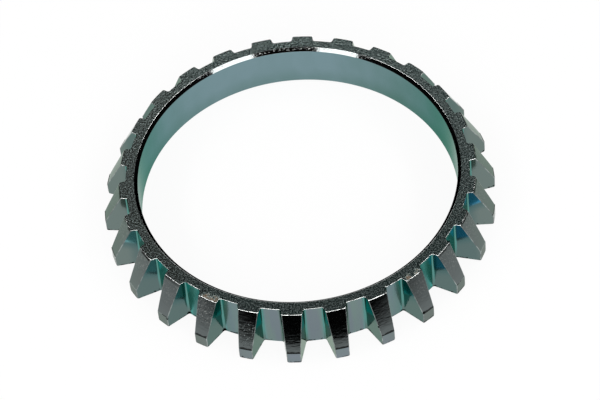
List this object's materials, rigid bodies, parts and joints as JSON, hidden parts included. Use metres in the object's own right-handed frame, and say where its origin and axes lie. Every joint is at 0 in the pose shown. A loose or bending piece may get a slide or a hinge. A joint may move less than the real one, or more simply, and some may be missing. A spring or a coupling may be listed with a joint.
{
  "type": "abs tone ring",
  "caption": "Toothed steel ring with a conical rim and a plain press-fit bore; its teeth pass a wheel-speed sensor.",
  "frame": {"origin": "centre of the bore in the plane of the flat wide end", "axes": "+Z along the bore from the wide end to the narrow end; a tooth is centred on -Y"},
  "size_m": [0.103, 0.1034, 0.014],
  "materials": {
    "ring": "bright zinc plating with a blue-green passivation over turned and cut steel"
  },
  "bodies": {
    "root": {"tone_ring": "ring"}
  },
  "joints": []
}
